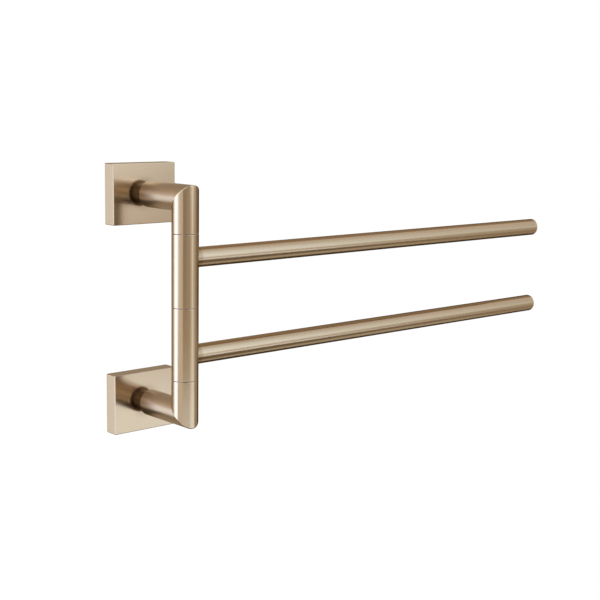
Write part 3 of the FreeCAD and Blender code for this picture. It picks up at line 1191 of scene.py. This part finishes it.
class Studio:
    """The white room, its cards and the camera. Its lengths are metres, but for the camera's place."""

    TARGET = np.array([0.08, -0.06, 0.0])
    TOWARDS = np.array([-0.671, -0.741, 0.0])
    RIGHT = np.array([0.741, -0.671, 0.0])
    UP = np.array([0.0, 0.0, 1.0])
    DISTANCE = 2.5
    DROP = 1.0
    PATCH_DEGREES = 7.5
    FLOOR = (30.0, 30.0, 1.1)
    FLOOR_COLOUR = (0.9, 0.9, 0.9)
    FLOOR_LIFT = 0.8
    FLOOR_LIGHT = 1.05
    WHITE = (1.0, 1.0, 1.0)
    PHOTO_WIDTH = 600.0
    FOCAL_LENGTH = 1246.965
    SENSOR = 36.0
    CLIP = (0.01, 100.0)
    CAMERA_PLACE = Vector((-542.936, -786.990, 152.807))
    CAMERA_RIGHT = (0.74289279, -0.66921457, 0.01619136)
    CAMERA_UP = (0.09513839, 0.12949297, 0.9870057)
    CAMERA_BACK = (-0.66261527, -0.731699, 0.15986739)
    CARDS = (
        Card("back_left_drape", (-180, -120), (-90, 90), (0.40, 0.33, 0.25)),
        Card("side_left_drape", (-120, -105), (-90, 90), (0.44, 0.33, 0.20)),
        Card("left_table_flag", (-105, -45), (-90, -22), (0.05, 0.04, 0.03)),
        Card("front_left_fill", (-45, -15), (-90, 90), (0.85, 0.80, 0.75)),
        Card("front_table_flag", (-15, 45), (-90, -22), (0.07, 0.05, 0.03)),
        Card("right_table_flag", (45, 90), (-90, -22), (0.20, 0.15, 0.10)),
        Card("right_side_under", (90, 105), (-90, -22), (0.20, 0.15, 0.10)),
        Card("right_side_low", (90, 105), (-22, 0), (0.55, 0.50, 0.40)),
        Card("right_back_under", (105, 135), (-90, -35), (0.60, 0.55, 0.45)),
        Card("right_back_low", (105, 135), (-35, -10), (0.42, 0.34, 0.25)),
        Card("back_drape", (135, 180), (-90, 20), (0.06, 0.04, 0.02)),
        Card("left_edge_strip", (-105, -90), (-22, 8), (1.25, 1.35, 1.50)),
        Card("left_edge_high", (-105, -90), (8, 90), (0.65, 0.50, 0.30)),
        Card("left_soft_box", (-90, -60), (-22, 90), (2.10, 2.35, 3.15)),
        Card("left_fill_low", (-60, -45), (-22, -10), (0.80, 0.78, 0.66)),
        Card("left_fill", (-60, -45), (-10, 90), (1.15, 1.30, 1.40)),
        Card("front_low_strip", (-15, 45), (-22, -15), (1.15, 1.25, 1.35)),
        Card("front_flag_low", (-15, 45), (-15, -10), (0.45, 0.34, 0.18)),
        Card("front_flag", (-15, 15), (-10, 6), (0.39, 0.33, 0.25)),
        Card("front_strip", (-15, 15), (6, 22), (0.95, 0.90, 0.80)),
        Card("front_flag_high", (-15, 15), (22, 90), (0.36, 0.29, 0.21)),
        Card("front_flag_right", (15, 45), (-10, 90), (0.50, 0.43, 0.35)),
        Card("right_low_strip", (45, 90), (-22, -15), (1.35, 1.50, 1.65)),
        Card("right_gap", (45, 60), (-15, 0), (0.60, 0.54, 0.42)),
        Card("right_strip", (60, 75), (-15, 0), (1.05, 1.05, 1.05)),
        Card("right_strip_low", (75, 90), (-15, -10), (0.85, 0.85, 0.90)),
        Card("right_strip_edge", (75, 90), (-10, 0), (0.65, 0.60, 0.55)),
        Card("right_soft_box", (45, 75), (0, 90), (1.65, 1.80, 2.05)),
        Card("right_fill", (75, 90), (0, 90), (1.10, 1.25, 1.40)),
        Card("right_side_fill", (90, 105), (0, 90), (0.85, 0.90, 0.90)),
        Card("right_back_flag", (105, 135), (-10, 20), (0.35, 0.25, 0.15)),
        Card("right_back_high", (105, 135), (20, 90), (0.75, 0.70, 0.65)),
        Card("back_high", (135, 180), (20, 90), (0.35, 0.25, 0.15)),
    )

    def build_card(self, card: Card) -> None:
        """A patch of a sphere: direction = towards*cos(a)cos(e) + right*sin(a)cos(e) + up*sin(e).

        Where the sphere would pass below the floor the patch lies flat above it: its distance is then
        DROP / -sin(e), if that is the smaller. Only shiny surfaces see a card.

        Args:
            card: What to build.
        """
        across, upward = (max(2, round((end - start) / self.PATCH_DEGREES) + 1)
                          for start, end in (card.azimuth, card.elevation))
        a = np.radians(np.linspace(*card.azimuth, across))[None, :, None]
        e = np.radians(np.linspace(*card.elevation, upward))[:, None, None]
        level = self.TOWARDS * np.cos(a) + self.RIGHT * np.sin(a)
        way = (level * np.cos(e) + self.UP * np.sin(e)).reshape(-1, 3)
        reach = np.minimum(self.DISTANCE, self.DROP / np.maximum(TINY, -way[:, 2:]))
        corner = (np.arange(upward - 1)[:, None] * across + np.arange(across - 1)[None, :]).ravel()
        faces = np.stack([corner, corner + 1, corner + across + 1, corner + across], 1)
        tree = ShaderTree(bpy.data.materials.new(card.name))
        light = tree.node("ShaderNodeEmission", {"Color": rgba(card.colour), "Strength": 1.0})
        tree.node("ShaderNodeOutputMaterial", {"Surface": light})
        made = build_object(card.name, self.TARGET + reach * way, faces.tolist(), tree.owner)
        made.visible_camera = made.visible_shadow = made.visible_diffuse = False

    def build_floor(self) -> None:
        """A wide pale floor well below the object, lifted to white where the camera or metal sees it."""
        tree = ShaderTree(bpy.data.materials.new("pale_floor"))
        camera, glossy, through = (tree.node("ShaderNodeLightPath", out=f"Is {kind} Ray")
                                   for kind in ("Camera", "Glossy", "Transmission"))
        paint = tree.node("ShaderNodeBsdfDiffuse", {"Color": rgba(self.FLOOR_COLOUR)})
        light = tree.node("ShaderNodeEmission", {"Color": rgba(self.WHITE), "Strength": self.FLOOR_LIGHT})
        lift = camera.maximum(glossy).maximum(through) * self.FLOOR_LIFT
        both = tree.node("ShaderNodeMixShader", {0: lift, 1: paint, 2: light})
        tree.node("ShaderNodeOutputMaterial", {"Surface": both})
        points = np.array([(-1, -1, -1), (1, -1, -1), (1, 1, -1), (-1, 1, -1)]) * self.FLOOR
        build_object("floor", points, [(0, 1, 2, 3)], tree.owner)

    def build_world(self) -> None:
        """A white world at strength 1."""
        world = bpy.data.worlds.new("studio")
        bpy.context.scene.world = world
        tree = ShaderTree(world)
        light = tree.node("ShaderNodeBackground", {"Color": rgba(self.WHITE), "Strength": 1.0})
        tree.node("ShaderNodeOutputWorld", {"Surface": light})

    def build_camera(self) -> None:
        """The camera as fitted to the photograph, whose width and focal length are in pixels."""
        data = bpy.data.cameras.new("camera")
        data.sensor_width = self.SENSOR
        data.lens = self.FOCAL_LENGTH * self.SENSOR / self.PHOTO_WIDTH
        data.clip_start, data.clip_end = self.CLIP
        made = bpy.data.objects.new("camera", data)
        bpy.context.scene.collection.objects.link(made)
        turn = Matrix((self.CAMERA_RIGHT, self.CAMERA_UP, self.CAMERA_BACK)).transposed().to_4x4()
        made.matrix_world = Matrix.Translation(self.CAMERA_PLACE * MM) @ turn
        bpy.context.scene.camera = made

    def build(self) -> None:
        """Builds the room, the cards and the camera."""
        self.build_world()
        self.build_floor()
        for card in self.CARDS:
            self.build_card(card)
        self.build_camera()
        bpy.context.scene.view_settings.view_transform = "Standard"


def main() -> None:
    """Builds every sub-assembly, dresses what stays of the CAD model and sets up the studio."""
    logging.basicConfig(level=logging.INFO, format="%(name)s %(message)s")
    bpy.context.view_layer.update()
    palette = Palette()
    for part in frame["record"]["subparts"]:
        palette.dress_node(part["node"], part["material_slot"])
    for side in Side:
        for assembly in (WallFlange, MitredPost, SwingArm):
            assembly(side).build()
    SeamWashers().build(palette)
    Studio().build()


if __name__ == "__main__":
    main()
